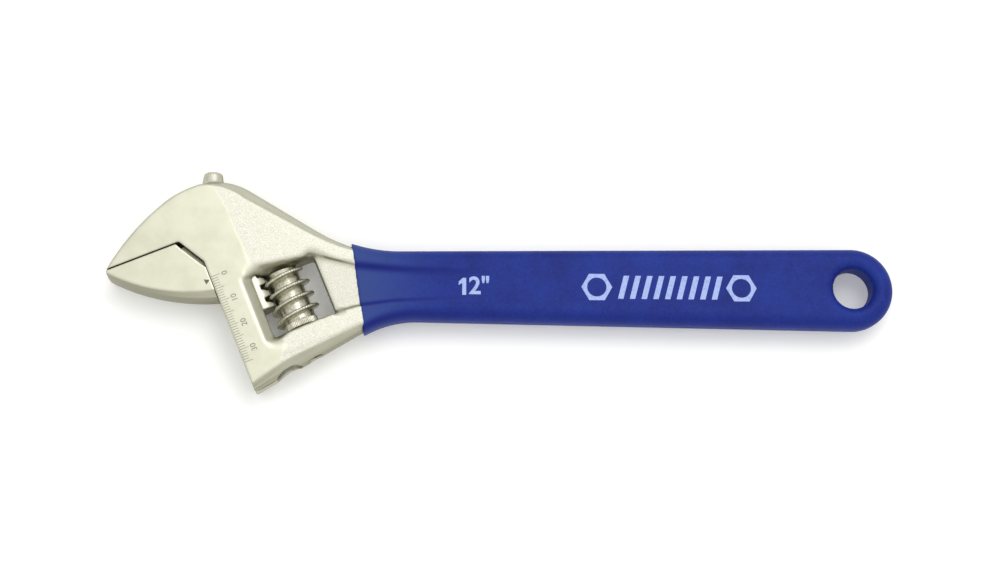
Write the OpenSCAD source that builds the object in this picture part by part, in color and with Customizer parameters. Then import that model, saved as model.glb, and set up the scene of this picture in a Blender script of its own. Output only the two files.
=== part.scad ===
// Adjustable wrench with a dipped grip, lying flat with its jaws closed.
// +X runs along the handle from the jaws to the hanging hole, +Y towards the fixed jaw's back,
// +Z up out of the upper cheek. The head is drawn in its own turned frame: u runs along the
// jaw faces into the head, v along the jaw's slide towards the fixed jaw, and u = v = 0 where
// the fixed jaw's face would meet the head's front edge.

/* [Overall] */
// Length from the jaw tips to the end of the grip
length = 300; // [292:1:310]
// Angle of the jaw faces to the handle
head_angle = 22.5; // [20:0.5:25]
// Thickness of the head across its two cheeks
head_t = 18.2; // [17.8:0.1:20]

/* [Jaws] */
// Distance from the jaw tips to the head's front edge, along the handle
jaw_reach = 32; // [31:0.5:33]
// Clear opening with the jaws fully open
capacity = 35; // [25:1:36]
// Gap between the jaw faces when closed
jaw_gap = 0.4; // [0.2:0.1:0.6]
// Width of the hexagon throat at the root of the fixed jaw's face
throat_w = 6.1; // [4:0.1:7]
// Clearance between the moving jaw's back and the head's front edge
jaw_play = 0.15; // [0.1:0.05:0.3]

/* [Slide] */
// Diameter of the moving jaw's rod
rod_d = 11.2; // [10.8:0.1:11.4]
// Radial clearance of the rod in its bore
rod_play = 0.08; // [0.04:0.01:0.1]
// Distance of the rod's axis behind the head's front edge
rod_u = 14.1; // [13.8:0.1:14.4]
// Thickness of the web that joins the jaw to its rod
web_t = 5.5; // [4:0.1:6]

/* [Adjusting worm] */
// Diameter over the thread
worm_d = 18; // [17.6:0.1:18]
// Diameter of the core under the thread
worm_core_d = 12.4; // [12:0.1:13]
// Pitch of the thread and of the rack
pitch = 5; // [4.8:0.1:5.2]
// Distance of the worm's axis behind the head's front edge
worm_u = 25.3; // [25.2:0.1:25.6]
// Side clearance of the thread in the rack
thread_play = 0.2; // [0.15:0.05:0.3]
// Diameter of the worm pin
pin_d = 4.8; // [4:0.1:5]

/* [Grip] */
// Thickness of the dipped coating
coat_t = 1.3; // [1:0.1:1.6]
// Diameter of the hanging hole through the grip
hang_hole_d = 15.5; // [13:0.5:17]

/* [Hidden] */
$fn = 72;
far = 120;
eps = 0.01;

steel = "gainsboro";
bright = "silver";
spring_steel = "dimgray";
coating = "royalblue";

head_h = head_t / 2;
root_y = 17;                       // where the fixed face meets the front edge, above the handle's axis
handle_h = 5.2;                    // half thickness of the steel handle
end_r = 14.6;                      // steel radius round the hanging hole
hang_x = length - jaw_reach - end_r - coat_t;
waist_y = 12.2;                    // half width of the steel at its narrowest
wedge = 31;                        // slope of the neck's two edges to the handle

// Window that holds the worm, in u and v.
win = [14.4, -46.8, 38.7, -23.3];
worm_v = [-46.6, -23.5];           // the worm's two ends
thread_v = worm_v[1] - 4.1;        // height of a thread crest where it faces the rack
thread_turn = [-1130, 185];        // first and last angle of the thread from there
crest_half = 0.7;
flank = 0.22;                      // growth of the thread's half width per mm of depth
collar_r = 6.5;

rod_v = [-35.5, capacity - 25];    // the rod's ends when closed, both in a tooth
bore_top = rod_v[1] + 1.2;
rack_root_u = worm_u - worm_d / 2 - 0.2;
rack_tip_u = rack_root_u + 2.5;
web_v = [-24.4, -13.8];

pin_v = [-58.6, -13.5];
pin_thread_v = -47.6;
pin_thread_d = 6;
pin_play = 0.08;
spring_v = [-28.6, -23.9];
spring_wire = 0.8;
spring_r = 3.3;
spring_turns = 4;

coat_round = 4.2;                  // how far the coating's edge rounds in
neck_u = 15;                       // the cheek is flat up to here
neck_fall = 5;                     // then the neck falls towards the handle, degrees

// Edge of the neck: fraction of the half thickness against fraction of the edge's width.
forged_rim = [[0, 0], [0.35, 0.03], [0.62, 0.35], [0.85, 0.75], [1, 1]];
jaw_rim = [[0.3, 0.03], [0.6, 0.3], [0.84, 0.72], [1, 1]];
coat_rim = [[0, 0], [0.38, 0.07], [0.68, 0.28], [0.88, 0.6], [1, 1]];

function polar(c, r, a) = [c[0] + r * cos(a), c[1] + r * sin(a)];

// Outline of the forging, anticlockwise. Each run is [centre, radius, from, to, edge width at
// each end]; a negative radius is a hollow arc and a zero radius is a corner.
jaw_low = [[48.2, -37.3], 91.1];
jaw_mid = [polar(jaw_low[0], 91.1 - 39.5, 131.6), 39.5];
crown = [polar(jaw_mid[0], 39.5 - 22.9, 110.3), 22.9];
up_normal = 90 - wedge;
up_d = crown[0] * [cos(up_normal), sin(up_normal)] + crown[1];
top_hollow = 60;
top_c = [(up_d + top_hollow - (waist_y + top_hollow) * sin(up_normal)) / cos(up_normal),
         waist_y + top_hollow];
low_d = 48.1;                      // distance of the lower wedge edge from the handle's axis point
low_hollow = 40;
low_c = [(low_d + low_hollow - (waist_y + low_hollow) * sin(up_normal)) / cos(up_normal),
         -waist_y - low_hollow];
function low_edge(x) = [x, (x * cos(up_normal) - low_d) / sin(up_normal)];

runs = [
    [[hang_x, 0], end_r, -90, 90, 3, 3],
    [top_c, -top_hollow, 270, 270 - wedge, 3.4, 5.1],
    [crown[0], crown[1], up_normal, 110.3, 5.1, 1.6],
    [jaw_mid[0], jaw_mid[1], 110.3, 131.6, 1.6, 1.2],
    [jaw_low[0], jaw_low[1], 131.6, 160, 1.2, 1],
    [low_edge(15), 0, -up_normal, -up_normal, 1.6, 1.6],
    [low_edge(40), 0, -up_normal, -up_normal, 4, 4],
    [low_c, -low_hollow, 90 + wedge, 90, 4.2, 3.4],
];

// A run's points with its edge drawn in by the fraction f of the edge width, plus the constant g.
function run_points(run, f, g) =
    let (n = run[1] == 0 ? 0 : max(2, round(abs(run[3] - run[2]) / 5)))
    [for (i = [0 : n])
        let (t = n == 0 ? 0 : i / n,
             a = run[2] + (run[3] - run[2]) * t,
             e = f * (run[4] + (run[5] - run[4]) * t) + g)
        polar(run[0], abs(run[1]) - (run[1] < 0 ? -e : e), a)];
neck_hub = [60, 0];                // sees the whole outline
function outline(f, g = 0) =
    let (loop = [for (run = runs) each run_points(run, f, g)])
    [for (i = [0 : len(loop) - 1]) if (i == 0 || norm(loop[i] - loop[i - 1]) > eps) loop[i]];

// A solid skinned over loops of points. Seen from the last loop, each runs anticlockwise. Each end
// is closed by a fan round its middle, or round hub, a point in the plane that sees every corner.
module skin(loops, hub) {
    m = len(loops[0]);
    last = len(loops) - 1;
    low = m * (last + 1);
    hubs = [for (loop = [loops[0], loops[last]])
        hub == undef ? middle(loop) : [hub[0], hub[1], loop[0][2]]];
    polyhedron(
        points = [for (loop = loops) each loop, each hubs],
        faces = [
            for (i = [0 : m - 1]) let (j = (i + 1) % m)
                each [[low, i, j], [low + 1, last * m + j, last * m + i]],
            for (k = [0 : last - 1]) for (i = [0 : m - 1])
                let (j = (i + 1) % m, a = k * m, b = (k + 1) * m)
                each [[a + i, b + i, b + j], [a + i, b + j, a + j]]
        ]);
}
function middle(loop) = [for (axis = [0 : 2]) sum([for (p = loop) p[axis]]) / len(loop)];
function sum(list, i = 0) = i == len(list) ? 0 : list[i] + sum(list, i + 1);
function at_height(loop, z) = [for (p = loop) [p[0], p[1], z]];

// Both faces' levels of an edge profile, from the lowest to the highest.
function mirrored(rim) =
    [for (i = [len(rim) - 1 : -1 : 0]) if (rim[i][0] > 0) [-rim[i][0], rim[i][1]], each rim];

module head_frame() { translate([0, root_y, 0]) rotate([0, 0, head_angle]) children(); }

// A shaft-wise frame inside the head: local z runs along v, local x points at the rack.
module shaft_frame(u) { translate([u, 0, 0]) rotate([-90, 180, 0]) children(); }

module shaft(u, v0, v1, d) {
    shaft_frame(u) translate([0, 0, v0]) cylinder(d = d, h = v1 - v0);
}

module both_faces() { for (s = [0, 1]) mirror([0, 0, s]) children(); }

// Where the neck falls away from each cheek, down to the handle's flat.
module neck_relief() {
    both_faces() difference() {
        head_frame() translate([neck_u, 0, head_h]) rotate([0, neck_fall, 0])
            translate([0, -2 * far, 0]) cube([3 * far, 3 * far, far]);
        translate([-far, -far, -far]) cube([5 * far, 2 * far, far + handle_h]);
    }
}

// Forged pocket round the window: the bottom follows the window and the mouth is wider. The side
// next to the slide stops above the rod's bore.
pocket_low = [[14.4, -46.8], [16, -46.8], [21, -46.8], [38.7, -46.8], [38.7, -23.3], [20, -23.3],
              [14.4, -23.3]];
pocket_mid = [[14.2, -46.9], [16, -47.2], [21, -46.8], [39.2, -46.8], [39.2, -23], [19, -21.6],
              [14.2, -22.9]];
pocket_top = [[10.2, -48.2], [13.4, -50], [21, -47.6], [40, -46.8], [40, -22.5], [17.3, -18.9],
              [10.2, -22.3]];
module pocket() {
    skin([at_height(pocket_low, 3.5), at_height(pocket_mid, 5.9),
          at_height(pocket_top, head_h + 0.1)]);
}

// Hollow of the I-section behind the window, fading into the handle.
module web_hollow() {
    both_faces() translate([0, 0, 4.4]) linear_extrude(far)
        polygon([[42, 12], [50.9, 9.6], [60.9, 7.3], [78, 5.6], [118, 3], [118, -3],
                 [78, -6.2], [60.9, -8.8], [48, -13]]);
}

module forging() {
    difference() {
        skin([for (level = mirrored(forged_rim))
            at_height(outline(level[1]), level[0] * head_h)], neck_hub);
        neck_relief();
        web_hollow();
        translate([-jaw_reach - far, -far, -far]) cube([far, 2 * far, 2 * far]);
    }
}

module crown_boss() {
    translate([5.6, 38, 0]) rotate([-90, 0, 0]) {
        cylinder(r1 = 4.4, r2 = 3.6, h = 5.2);
        translate([0, 0, 5.2]) cylinder(r1 = 3.6, r2 = 2.9, h = 0.7);
    }
}

module jaw_mouth() {
    translate([0, 0, -far]) linear_extrude(2 * far)
        polygon([[-far, 0], [-throat_w, 0], [0, -throat_w * tan(60)], [0, -far], [-far, -far]]);
}

module body() {
    color(steel) place() difference() {
        union() {
            forging();
            crown_boss();
        }
        head_frame() {
            jaw_mouth();
            translate([win[0], win[1], -far]) cube([win[2] - win[0], win[3] - win[1], 2 * far]);
            both_faces() pocket();
            shaft(rod_u, -far, bore_top, rod_d + 2 * rod_play);
            translate([-1, -far, -web_t / 2 - jaw_play])
                cube([rod_u + 1, far - 11.5, web_t + 2 * jaw_play]);
            shaft(worm_u, pin_v[0], pin_v[1] + 0.2, pin_d);
            shaft(worm_u, -far, pin_thread_v, pin_thread_d);
        }
        translate([hang_x, 0, -far]) cylinder(r = hang_hole_d / 2 + coat_t, h = 2 * far);
    }
}

// The moving jaw's outline in u and v: its back arc is one circle, blunted at the tip. It runs on
// past the head's front edge, where jaw_plate cuts it off square.
jaw_back_c = [24.1, 49.5];
jaw_back_r = 79;
jaw_root_u = 3;
function jaw_loop(e) =
    let (r = jaw_back_r - e,
         a0 = 180 + asin((jaw_back_c[1] + jaw_gap) / r),
         a1 = 180 + acos((jaw_back_c[0] - jaw_root_u) / r))
    concat(
        [[jaw_root_u, (-throat_w - jaw_root_u) * tan(60) - 2.6], [-7.5, -jaw_gap]],
        [for (i = [0 : 12])
            polar(jaw_back_c, jaw_back_r - e * (1 + 2.6 * pow(i / 12, 2)), a0 + (a1 - a0) * i / 12)]);

module jaw_plate() {
    difference() {
        skin([for (level = mirrored(jaw_rim)) at_height(jaw_loop(level[1]), level[0] * head_h)]);
        translate([-jaw_play, -far, -far]) cube([far, 2 * far, 2 * far]);
    }
}

// Half width of the thread's axial section at a distance r from the worm's axis.
function thread_half(r) = crest_half + (worm_d / 2 - r) * flank;

// One gap of the rack, leant over to follow the worm's helix.
module rack_gap() {
    lean = atan(pitch / (PI * (worm_d - 1.5)));
    r0 = worm_u - rack_root_u;
    r1 = worm_u - rack_tip_u - 1;
    w0 = thread_half(r0) + thread_play;
    w1 = thread_half(r1) + thread_play;
    rotate([-lean, 0, 0]) translate([0, 0, -rod_d]) linear_extrude(2 * rod_d)
        polygon([[rack_root_u, -w0], [worm_u - r1, -w1], [worm_u - r1, w1], [rack_root_u, w0]]);
}

module movable_jaw() {
    lowest = ceil((rod_v[0] - thread_v) / pitch);
    highest = floor((rod_v[1] - thread_v) / pitch);
    color(steel) place() difference() {
        head_frame() {
            jaw_plate();
            translate([-2, web_v[0], -web_t / 2])
                cube([rod_u + 1, web_v[1] - web_v[0], web_t]);
            difference() {
                shaft(rod_u, rod_v[0], rod_v[1], rod_d);
                translate([rack_tip_u, -far, -far]) cube([far, 2 * far, 2 * far]);
                for (k = [lowest : highest]) translate([0, thread_v + k * pitch, 0]) rack_gap();
            }
        }
        translate([-jaw_reach - far, -far, -far]) cube([far, 2 * far, 2 * far]);
    }
}

// The thread's crest is a narrow flat with two flanks, swept along a right-handed helix.
module thread() {
    crest = worm_d / 2;
    root = worm_core_d / 2 - 0.4;
    knee = crest - 0.35;
    section = [[root, thread_half(root)], [knee, thread_half(knee)], [crest, crest_half - 0.3],
               [crest, 0.3 - crest_half], [knee, -thread_half(knee)], [root, -thread_half(root)]];
    n = round((thread_turn[1] - thread_turn[0]) / 12);
    skin([for (i = [0 : n])
        let (a = thread_turn[0] + (thread_turn[1] - thread_turn[0]) * i / n)
        [for (s = section) [s[0] * cos(a), s[0] * sin(a), s[1] + pitch * a / 360]]]);
}

module adjusting_worm() {
    color(bright) place() head_frame() difference() {
        union() {
            shaft(worm_u, worm_v[0], worm_v[1], worm_core_d);
            shaft(worm_u, worm_v[0], worm_v[0] + 2.6, 2 * collar_r);
            shaft_frame(worm_u) translate([0, 0, thread_v]) thread();
        }
        shaft(worm_u, -far, far, pin_d + 2 * pin_play);
        shaft(worm_u, spring_v[0] - 0.4, far, 2 * (spring_r + spring_wire));
    }
}

module worm_pin() {
    color(bright) place() head_frame() difference() {
        union() {
            shaft(worm_u, pin_v[0], pin_v[1], pin_d);
            shaft(worm_u, pin_v[0], pin_thread_v - 0.3, pin_thread_d - 0.04);
        }
        translate([worm_u - far, pin_v[0] - eps, -0.5]) cube([2 * far, 1.2, 1]);
    }
}

// A round wire wound right-handed round the pin.
module worm_spring() {
    steps = 16 * spring_turns;
    rise = (spring_v[1] - spring_v[0] - spring_wire) / 360 / spring_turns;
    color(spring_steel) place() head_frame() shaft_frame(worm_u) translate([0, 0, spring_v[0]])
        skin([for (i = [0 : steps])
            let (a = 360 * spring_turns * i / steps)
            [for (b = [360 : -45 : 45])
                let (r = spring_r + spring_wire / 2 * cos(b))
                [r * cos(a), r * sin(a), rise * a + spring_wire / 2 * (1 + sin(b))]]]);
}

// The coating ends on a slightly slanted line across the neck.
module coat_edge() {
    translate([59, root_y - 1, -far]) rotate([0, 0, 8.3])
        translate([-far, -far, 0]) cube([far, 2 * far, 2 * far]);
}

module grip_sleeve() {
    color(coating) place() difference() {
        skin([for (level = mirrored(coat_rim))
            at_height(outline(0, level[1] * coat_round - coat_t), level[0] * (handle_h + coat_t))],
            neck_hub);
        coat_edge();
        forging();
        translate([hang_x, 0, -far]) cylinder(d = hang_hole_d, h = 2 * far);
        head_frame() translate([win[0], win[1], -far])
            cube([win[2] - win[0], win[3] - win[1], 2 * far]);
    }
}

// Middle of the closed wrench's box, at the height of its underside.
front_corner_y = root_y - (root_y * sin(up_normal) + low_d) * cos(head_angle)
    / (cos(head_angle) * sin(up_normal) + sin(head_angle) * cos(up_normal));
boss_top_y = 38 + 5.9;
module place() {
    translate([jaw_reach - length / 2, -(front_corner_y + boss_top_y) / 2, head_h]) children();
}

body();
movable_jaw();
adjusting_worm();
worm_pin();
worm_spring();
grip_sleeve();
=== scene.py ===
import math

import bmesh
import bpy
import numpy as np
from mathutils import Matrix


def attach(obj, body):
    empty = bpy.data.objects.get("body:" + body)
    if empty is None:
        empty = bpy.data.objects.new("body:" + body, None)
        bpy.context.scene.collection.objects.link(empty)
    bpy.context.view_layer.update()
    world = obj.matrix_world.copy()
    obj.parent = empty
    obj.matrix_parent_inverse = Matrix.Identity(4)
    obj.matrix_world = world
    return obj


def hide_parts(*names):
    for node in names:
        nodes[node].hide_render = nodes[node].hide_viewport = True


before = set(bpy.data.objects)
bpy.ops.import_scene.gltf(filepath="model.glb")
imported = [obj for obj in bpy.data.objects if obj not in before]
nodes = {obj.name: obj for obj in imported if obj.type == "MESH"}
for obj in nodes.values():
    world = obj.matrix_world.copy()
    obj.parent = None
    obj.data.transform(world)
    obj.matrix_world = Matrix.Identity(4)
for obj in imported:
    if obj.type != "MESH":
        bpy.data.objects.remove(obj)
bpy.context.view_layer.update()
mm = 0.001
print("frame loaded")

# Where the wrench's own axes lie, in mm. Handle axes: x along the handle, y = 0 on its centre line,
# z = 0 halfway through. Head axes: u into the head from its front edge, v along the jaw's slide.
place = {
    "headAngle": math.radians(22.5),
    "rootY": 17.0,
    "shift": (-118.0, -1.17785, 9.1),
    "cheek": 9.08,  # half thickness shown, just under the solid's 9.1 so that marks can stand on it
    "markTop": 9.095,  # the marks stand just clear of the shown cheek, still under 9.1
}
far = 1000.0  # mm, past everything


def toHandle(co):
    return co / mm - np.array(place["shift"])


def fromHandle(points):
    return (np.asarray(points, float) + np.array(place["shift"])) * mm


def toHead(co):
    p = toHandle(co)
    c, s = math.cos(place["headAngle"]), math.sin(place["headAngle"])
    y = p[:, 1] - place["rootY"]
    return np.stack([p[:, 0] * c + y * s, y * c - p[:, 0] * s, p[:, 2]], 1)


def fromHead(points):
    p = np.asarray(points, float)
    c, s = math.cos(place["headAngle"]), math.sin(place["headAngle"])
    return fromHandle(
        np.stack([p[:, 0] * c - p[:, 1] * s, p[:, 0] * s + p[:, 1] * c + place["rootY"], p[:, 2]], 1)
    )


def between(u, v, box):
    lowU, highU, lowV, highV = box
    return (u > lowU) & (u < highU) & (v > lowV) & (v < highV)


def ramp(value, start, end):
    t = np.clip((np.asarray(value, float) - start) / (end - start), 0, 1)
    return t * t * (3 - 2 * t)


# Meshes.


def getPoints(mesh):
    co = np.empty(len(mesh.vertices) * 3, np.float32)
    mesh.vertices.foreach_get("co", co)
    return co.reshape(-1, 3).astype(float)


def setPoints(mesh, co):
    mesh.vertices.foreach_set("co", np.asarray(co, np.float32).ravel())
    mesh.update()


def getNormals(mesh):
    n = np.empty(len(mesh.vertices) * 3, np.float32)
    mesh.vertex_normals.foreach_get("vector", n)
    return n.reshape(-1, 3)


def addObject(name, mesh):
    made = bpy.data.objects.new(name, mesh)
    bpy.context.scene.collection.objects.link(made)
    return made


def copyNode(name, nodeName):
    mesh = nodes[nodeName].data.copy()
    work = bmesh.new()
    work.from_mesh(mesh)
    bmesh.ops.remove_doubles(work, verts=work.verts, dist=1e-6)
    work.to_mesh(mesh)
    work.free()
    mesh.materials.clear()
    return addObject(name, mesh)


def applyModifiers(piece):
    graph = bpy.context.evaluated_depsgraph_get()
    mesh = bpy.data.meshes.new_from_object(piece.evaluated_get(graph))
    piece.modifiers.clear()
    piece.data = mesh
    return mesh


def remesh(piece, voxel):
    made = piece.modifiers.new("skin", "REMESH")
    made.mode = "VOXEL"
    made.voxel_size = voxel * mm
    made.use_smooth_shade = True
    return applyModifiers(piece)


def soften(piece, weights, rounds, levels=20):
    group = piece.vertex_groups.new(name="soft")
    level = np.round(np.clip(weights, 0, 1) * levels).astype(int)
    for step in range(1, levels + 1):
        group.add(np.nonzero(level == step)[0].tolist(), step / levels, "REPLACE")
    made = piece.modifiers.new("soften", "SMOOTH")
    made.factor = 0.5
    made.iterations = rounds
    made.vertex_group = "soft"
    mesh = applyModifiers(piece)
    piece.vertex_groups.clear()
    return mesh


def thin(piece, hidden, share):
    group = piece.vertex_groups.new(name="hidden")
    group.add(np.nonzero(hidden)[0].tolist(), 1.0, "REPLACE")
    made = piece.modifiers.new("thin", "DECIMATE")
    made.ratio = share
    made.vertex_group = "hidden"
    made.vertex_group_factor = 1.0
    mesh = applyModifiers(piece)
    piece.vertex_groups.clear()
    return mesh


def setAttribute(mesh, name, values):
    layer = mesh.attributes.new(name, "FLOAT", "POINT")
    layer.data.foreach_set("value", np.asarray(values, np.float32))


def finishMesh(piece, material):
    work = bmesh.new()
    work.from_mesh(piece.data)
    bmesh.ops.remove_doubles(work, verts=work.verts, dist=1e-7)
    bmesh.ops.recalc_face_normals(work, faces=work.faces)
    work.to_mesh(piece.data)
    work.free()
    piece.data.materials.clear()
    piece.data.materials.append(material)
    return piece


# Materials.


def linear(hexCode, alpha=1.0):
    parts = [int(hexCode[i : i + 2], 16) / 255 for i in (1, 3, 5)]
    return (*[p / 12.92 if p <= 0.04045 else ((p + 0.055) / 1.055) ** 2.4 for p in parts], alpha)


def addNode(tree, kind, inputs=None, **settings):
    made = tree.nodes.new(kind)
    for name, value in settings.items():
        setattr(made, name, value)
    for name, value in (inputs or {}).items():
        socket = made.inputs[name]
        if isinstance(value, bpy.types.NodeSocket):
            tree.links.new(value, socket)
        else:
            socket.default_value = value
    return made


def reckon(tree, operation, a, b=None):
    inputs = {0: a} if b is None else {0: a, 1: b}
    return addNode(tree, "ShaderNodeMath", inputs, operation=operation).outputs[0]


def setStops(rampNode, stops):
    for mark, (at, colour) in zip(rampNode.color_ramp.elements, stops):
        mark.position = at
        mark.color = colour


def newMaterial(name):
    made = bpy.data.materials.new(name)
    made.use_nodes = True
    tree = made.node_tree
    tree.nodes.clear()
    shader = addNode(tree, "ShaderNodeBsdfPrincipled")
    addNode(tree, "ShaderNodeOutputMaterial", {"Surface": shader.outputs[0]})
    where = addNode(tree, "ShaderNodeTexCoord").outputs["Object"]
    return made, tree, shader, where


def perMetre(spacing):
    return 1 / (spacing * mm)


# Satin nickel plate over a shot-blasted forging: a warm pale grey, grainy where it was only
# blasted and smooth where the cheeks were ground before plating.
nickel = {
    "ground": ("#c9c8b5", "#c1c0ac"),
    "blasted": ("#d6d5ca", "#b9b8a9"),
    "sideShade": "#93917c",  # painted shade on the sides and in the pocket, darker the less a face looks up
    "groundStops": (0.35, 0.6),
    "blastedStops": (0.36, 0.62),
    "roughGround": (0.34, 0.42),
    "roughBlasted": (0.46, 0.58),
    "grit": 0.42,  # mm, a little coarser than real 0.2 mm grit so that it shows
    "gritHeight": 0.06,
    "bump": (0.06, 0.5),  # on the ground cheeks and on the blasted skin
    "mottle": 9.0,
    "grindLines": 8.0,
    "stretch": 14.0,  # how much longer the grinding lines are than wide
}
# Which faces count as flat cheek, by how far they look up, and how gritty the sides are.
plating = {"flat": (0.9, 0.99), "sideGrit": 0.35}


def makeNickel():
    made, tree, shader, where = newMaterial("satin nickel on blasted forging")
    mask = addNode(tree, "ShaderNodeAttribute", attribute_name="blasted").outputs["Fac"]
    grit = addNode(
        tree,
        "ShaderNodeTexNoise",
        {"Vector": where, "Scale": perMetre(nickel["grit"]), "Detail": 3.0, "Roughness": 0.65},
    ).outputs["Fac"]
    mottle = addNode(
        tree,
        "ShaderNodeTexNoise",
        {"Vector": where, "Scale": perMetre(nickel["mottle"]), "Detail": 4.0, "Roughness": 0.6},
    ).outputs["Fac"]
    lay = addNode(
        tree,
        "ShaderNodeMapping",
        {
            "Vector": where,
            "Rotation": (0, 0, -place["headAngle"]),
            "Scale": (1.0, nickel["stretch"], nickel["stretch"]),
        },
    ).outputs[0]
    grind = addNode(
        tree,
        "ShaderNodeTexNoise",
        {"Vector": lay, "Scale": perMetre(nickel["grindLines"]), "Detail": 3.0, "Roughness": 0.55},
    ).outputs["Fac"]
    groundColour = addNode(tree, "ShaderNodeValToRGB", {"Fac": mottle})
    pale, dull = nickel["ground"]
    setStops(groundColour, zip(nickel["groundStops"], (linear(dull), linear(pale))))
    blastedColour = addNode(tree, "ShaderNodeValToRGB", {"Fac": grit})
    pale, dull = nickel["blasted"]
    setStops(blastedColour, zip(nickel["blastedStops"], (linear(dull), linear(pale))))
    colour = addNode(
        tree,
        "ShaderNodeMix",
        {0: mask, 6: groundColour.outputs[0], 7: blastedColour.outputs[0]},
        data_type="RGBA",
    )
    # painted shade: faces that look less far up take the darker side colour
    sideShade = addNode(tree, "ShaderNodeAttribute", attribute_name="sideShade").outputs["Fac"]
    skin = addNode(
        tree,
        "ShaderNodeMix",
        {0: sideShade, 6: colour.outputs[2], 7: linear(nickel["sideShade"])},
        data_type="RGBA",
    )
    tree.links.new(skin.outputs[2], shader.inputs["Base Color"])
    smoothRough = addNode(
        tree,
        "ShaderNodeMapRange",
        {"Value": grind, "To Min": nickel["roughGround"][0], "To Max": nickel["roughGround"][1]},
    ).outputs[0]
    coarseRough = addNode(
        tree,
        "ShaderNodeMapRange",
        {"Value": grit, "To Min": nickel["roughBlasted"][0], "To Max": nickel["roughBlasted"][1]},
    ).outputs[0]
    rough = addNode(
        tree, "ShaderNodeMix", {0: mask, 2: smoothRough, 3: coarseRough}, data_type="FLOAT"
    ).outputs[0]
    tree.links.new(rough, shader.inputs["Roughness"])
    depth = addNode(
        tree,
        "ShaderNodeMapRange",
        {"Value": mask, "To Min": nickel["bump"][0], "To Max": nickel["bump"][1]},
    ).outputs[0]
    bump = addNode(
        tree,
        "ShaderNodeBump",
        {"Strength": depth, "Distance": nickel["gritHeight"] * mm, "Height": grit},
    )
    tree.links.new(bump.outputs[0], shader.inputs["Normal"])
    shader.inputs["Metallic"].default_value = 1.0
    return made


# Turned and plated steel for the worm: the same warm plate, a little shinier, with a fine,
# darker grain left by grease.
turned = {"pale": "#d2d0bf", "dull": "#a09d8a", "rough": (0.24, 0.38), "grain": 0.8}
# What the three turned steels share: where the dull and the pale tone start, and the grain's relief.
turning = {"stops": (0.3, 0.65), "bump": 0.15, "height": 0.03}


def makeTurned(name, settings):
    made, tree, shader, where = newMaterial(name)
    grain = addNode(
        tree,
        "ShaderNodeTexNoise",
        {"Vector": where, "Scale": perMetre(settings["grain"]), "Detail": 3.0},
    ).outputs["Fac"]
    colour = addNode(tree, "ShaderNodeValToRGB", {"Fac": grain})
    tones = (linear(settings["dull"]), linear(settings["pale"]))
    setStops(colour, zip(turning["stops"], tones))
    rough = addNode(
        tree,
        "ShaderNodeMapRange",
        {"Value": grain, "To Min": settings["rough"][0], "To Max": settings["rough"][1]},
    )
    bump = addNode(
        tree,
        "ShaderNodeBump",
        {"Strength": turning["bump"], "Distance": turning["height"] * mm, "Height": grain},
    )
    tree.links.new(colour.outputs[0], shader.inputs["Base Color"])
    tree.links.new(rough.outputs[0], shader.inputs["Roughness"])
    tree.links.new(bump.outputs[0], shader.inputs["Normal"])
    shader.inputs["Metallic"].default_value = 1.0
    return made


# Oiled spring wire: darker and smooth, with an uneven film of oil.
springWire = {"pale": "#8a8880", "dull": "#55544f", "rough": (0.25, 0.35), "grain": 0.6}
# Plated pin steel: duller than the worm, darkened all over as painted shade for the shadowed slot and
# thread at its end, with random dark blotches.
shadedPinSteel = {"pale": "#7b796d", "dull": "#35342f", "rough": (0.35, 0.5), "grain": 1.2}

# Dipped vinyl: a matte, faintly pebbled skin that cures with a soft orange peel.
vinyl = {
    "deep": "#03196c",
    "pale": "#0d2b88",
    "sheenTint": "#2e4382",  # painted sheen, paler near the neck where the flat faces catch the light
    "hollow": "#00136d",  # painted shade in the creases
    "peel": 0.9,  # mm between pebbles
    "peelHeight": 0.05,
    "bump": 0.35,
    "cloud": 16.0,  # mm between paler patches
    "stops": (0.38, 0.62),
    "rough": (0.5, 0.64),
    "specular": 0.25,
}


def makeVinyl():
    made, tree, shader, where = newMaterial("dipped vinyl, matte blue")
    peel = addNode(
        tree,
        "ShaderNodeTexNoise",
        {"Vector": where, "Scale": perMetre(vinyl["peel"]), "Detail": 4.0, "Roughness": 0.6},
    ).outputs["Fac"]
    cloud = addNode(
        tree,
        "ShaderNodeTexNoise",
        {"Vector": where, "Scale": perMetre(vinyl["cloud"]), "Detail": 5.0, "Roughness": 0.7},
    ).outputs["Fac"]
    blend = reckon(tree, "MULTIPLY", reckon(tree, "ADD", peel, cloud), 0.5)
    colour = addNode(tree, "ShaderNodeValToRGB", {"Fac": blend})
    setStops(colour, zip(vinyl["stops"], (linear(vinyl["deep"]), linear(vinyl["pale"]))))
    skin = colour.outputs[0]
    # painted sheen near the neck, then painted shade in the creases
    for mark, tint in (("paintedSheen", vinyl["sheenTint"]), ("creaseShade", vinyl["hollow"])):
        amount = addNode(tree, "ShaderNodeAttribute", attribute_name=mark).outputs["Fac"]
        skin = addNode(
            tree, "ShaderNodeMix", {0: amount, 6: skin, 7: linear(tint)}, data_type="RGBA"
        ).outputs[2]
    rough = addNode(
        tree,
        "ShaderNodeMapRange",
        {"Value": peel, "To Min": vinyl["rough"][0], "To Max": vinyl["rough"][1]},
    )
    bump = addNode(
        tree,
        "ShaderNodeBump",
        {"Strength": vinyl["bump"], "Distance": vinyl["peelHeight"] * mm, "Height": peel},
    )
    tree.links.new(skin, shader.inputs["Base Color"])
    tree.links.new(rough.outputs[0], shader.inputs["Roughness"])
    tree.links.new(bump.outputs[0], shader.inputs["Normal"])
    shader.inputs["Specular IOR Level"].default_value = vinyl["specular"]
    return made


# Pad-printed ink: flat, pale blue and slightly starved where the pad lifted.
padBlue = {"full": "#9dafdf", "thin": "#8799d2", "rough": 0.6, "speck": 0.8}
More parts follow.
